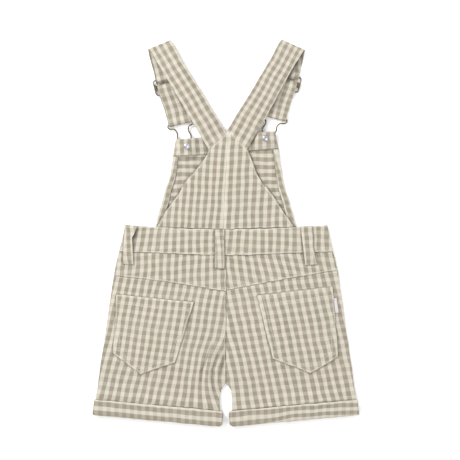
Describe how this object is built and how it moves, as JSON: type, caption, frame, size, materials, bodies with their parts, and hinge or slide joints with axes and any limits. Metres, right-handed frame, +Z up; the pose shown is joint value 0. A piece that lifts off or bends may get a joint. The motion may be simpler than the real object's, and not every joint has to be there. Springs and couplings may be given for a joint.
{
  "type": "toddler's gingham shortalls laid flat, seen from the back",
  "caption": "Child's check cotton dungaree shorts laid flat on their front: crossed-back straps with sliders and hooks, back pockets, belt loops and turned-up cuffs.",
  "frame": {"origin": "under the middle of the garment's outline, on the surface it lies on", "axes": "+Z up from the surface, +Y towards the shoulder straps, +X to the viewer's right"},
  "size_m": [0.34, 0.492, 0.0094],
  "materials": {
    "gingham": "matte cotton twill check",
    "gingham_reverse": "matte cotton twill check, wrong side",
    "label_tape": "smooth woven tape",
    "antique_brass": "dark antique",
    "tack_back": "satin"
  },
  "bodies": {
    "root": {"front_leg_left": "gingham", "front_leg_right": "gingham", "back_leg_left": "gingham", "back_leg_right": "gingham", "yoke_left": "gingham", "yoke_right": "gingham", "waistband_front": "gingham", "waistband_back": "gingham", "belt_loop_left": "gingham", "belt_loop_centre": "gingham", "belt_loop_right": "gingham", "pocket_back_left": "gingham", "pocket_back_right": "gingham", "label_tab": "label_tape", "cuff_front_left": "gingham_reverse", "cuff_front_right": "gingham_reverse", "cuff_back_left": "gingham_reverse", "cuff_back_right": "gingham_reverse", "bib_front": "gingham_reverse", "bib_hem_top": "gingham", "bib_hem_left": "gingham", "bib_hem_right": "gingham", "back_panel_left": "gingham", "back_panel_right": "gingham", "strap_left": "gingham", "strap_right": "gingham", "slider_left": "antique_brass", "slider_right": "antique_brass", "hook_left": "antique_brass", "hook_right": "antique_brass", "bib_button_left": "antique_brass", "bib_button_right": "antique_brass", "bib_rivet_left": "tack_back", "bib_rivet_right": "tack_back"}
  },
  "joints": []
}
